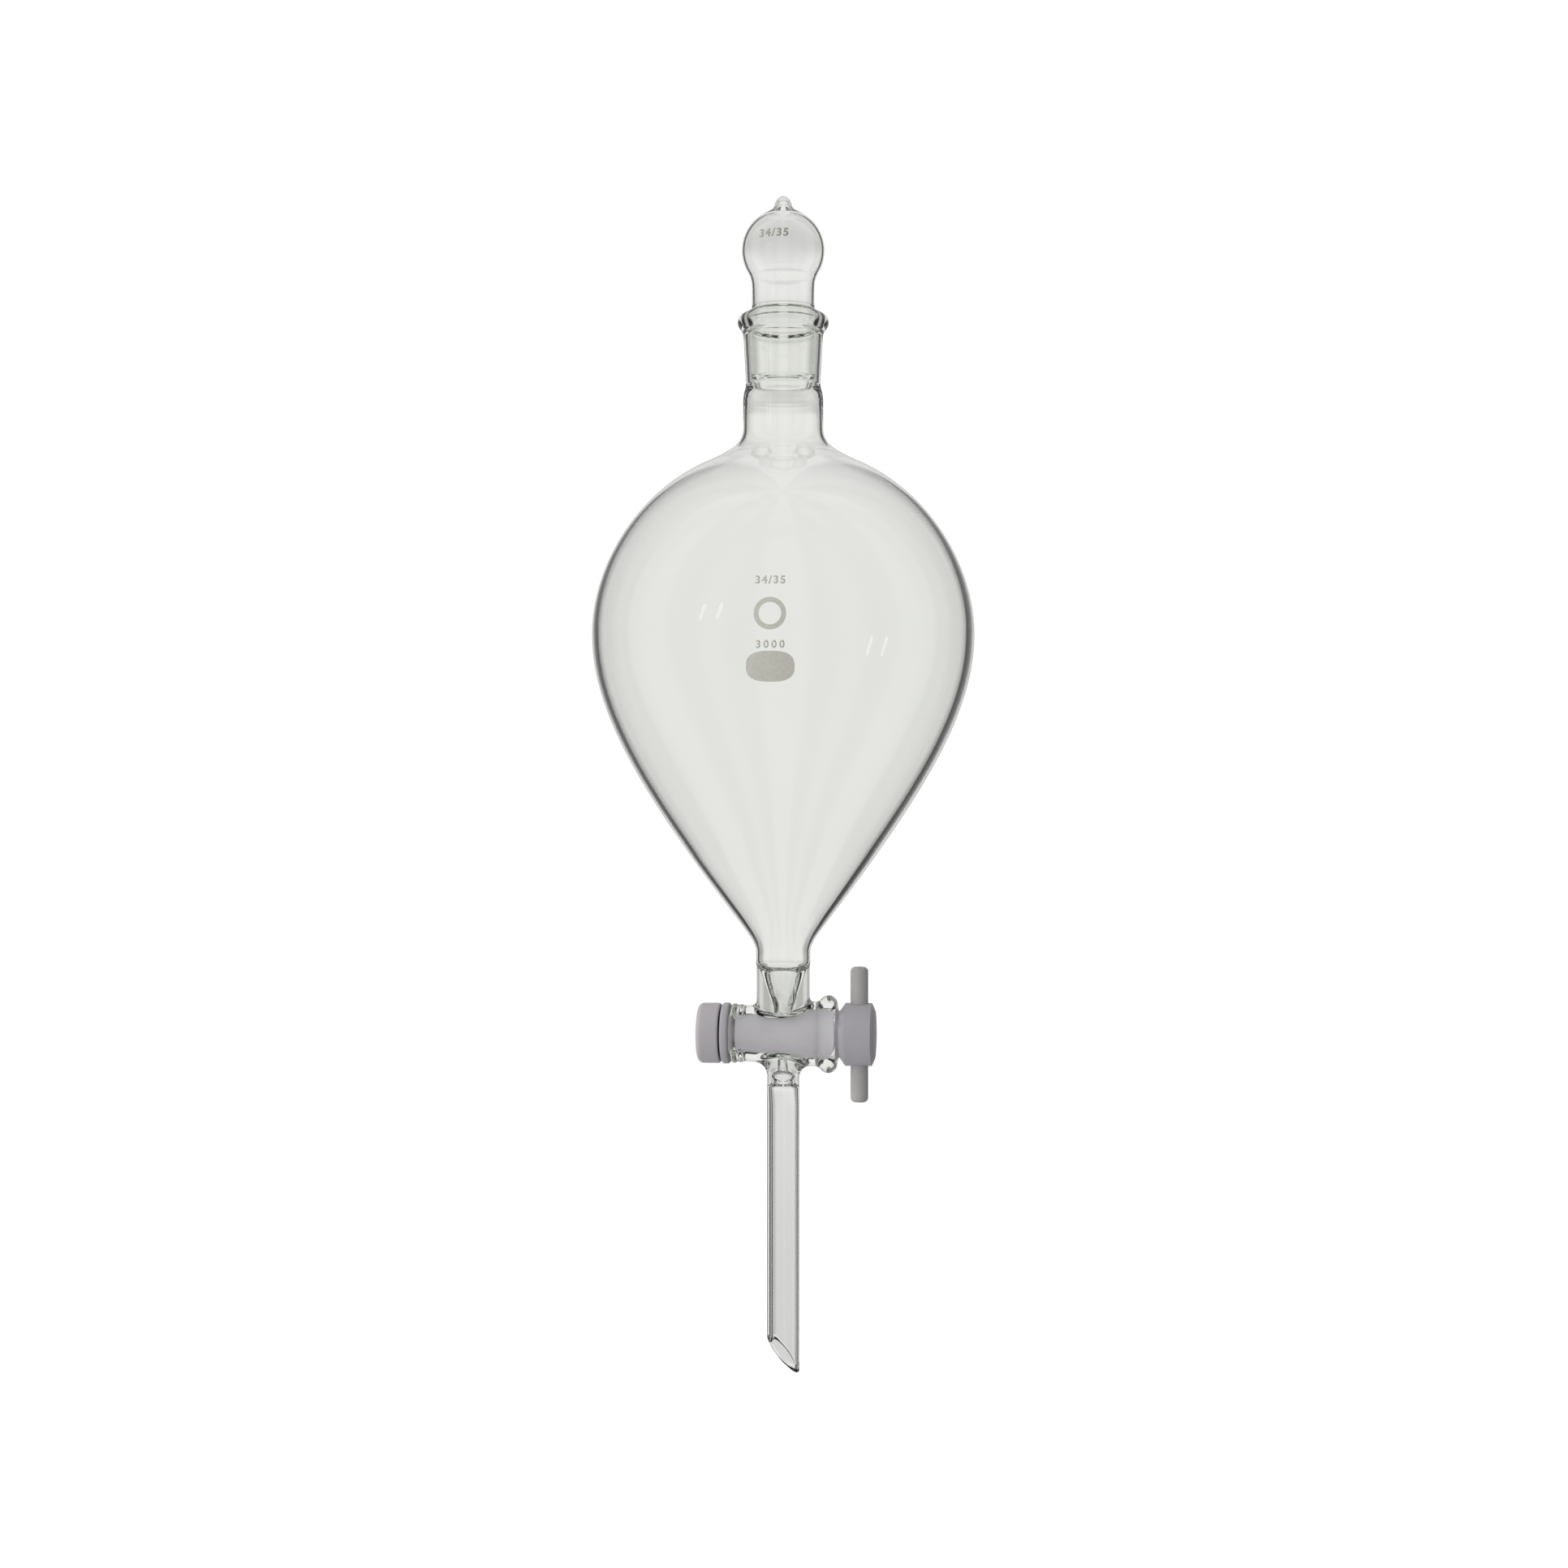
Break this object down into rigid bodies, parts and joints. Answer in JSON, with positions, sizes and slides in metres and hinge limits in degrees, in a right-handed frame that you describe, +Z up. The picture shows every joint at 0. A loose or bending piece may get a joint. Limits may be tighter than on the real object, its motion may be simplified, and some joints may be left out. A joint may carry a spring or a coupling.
{
  "type": "separatory funnel",
  "caption": "Pear-shaped glass separatory funnel with a ground joint, hollow glass stopper, plastic stopcock with cross handle, and a slanted stem.",
  "frame": {"origin": "on the glass axis, in the plane where a round ring of about 130 mm bore touches the lower half of the bulb, 283 mm above the tip of the stem", "axes": "+Z up along the glass axis towards the stopper; +X along the stopcock axis towards its handle; +Y away from the printed front of the bulb"},
  "size_m": [0.1878, 0.1878, 0.5793],
  "materials": {
    "clear_glass": "polished",
    "grey_white_ptfe": "satin",
    "black_rubber": "matt"
  },
  "bodies": {
    "funnel": {"funnel_body": "clear_glass"},
    "stopper": {"stopper": "clear_glass"},
    "stopcock": {"stopcock_key": "grey_white_ptfe", "handle_bar": "grey_white_ptfe", "washer": "grey_white_ptfe"},
    "tension_ring": {"o_ring": "black_rubber"},
    "tension_nut": {"nut": "grey_white_ptfe"}
  },
  "joints": [
    {"name": "stopper_lift", "type": "slide", "parent": "funnel", "child": "stopper", "axis": [0, 0, 1], "range_m": [0, 0.06]},
    {"name": "stopcock_turn", "type": "hinge", "parent": "funnel", "child": "stopcock", "pos_m": [0, 0, -0.1162], "axis": [1, 0, 0], "continuous": true},
    {"name": "nut_travel", "type": "slide", "parent": "stopcock", "child": "tension_ring", "axis": [-1, 0, 0], "range_m": [0, 0.0075]},
    {"name": "nut_turn", "type": "hinge", "parent": "tension_ring", "child": "tension_nut", "pos_m": [-0.036, 0, -0.1162], "axis": [-1, 0, 0], "range_deg": [0, 1080]}
  ],
  "couplings": [
    {"joint": "nut_turn", "follows": "nut_travel", "rad_per_m": 2513.3}
  ]
}
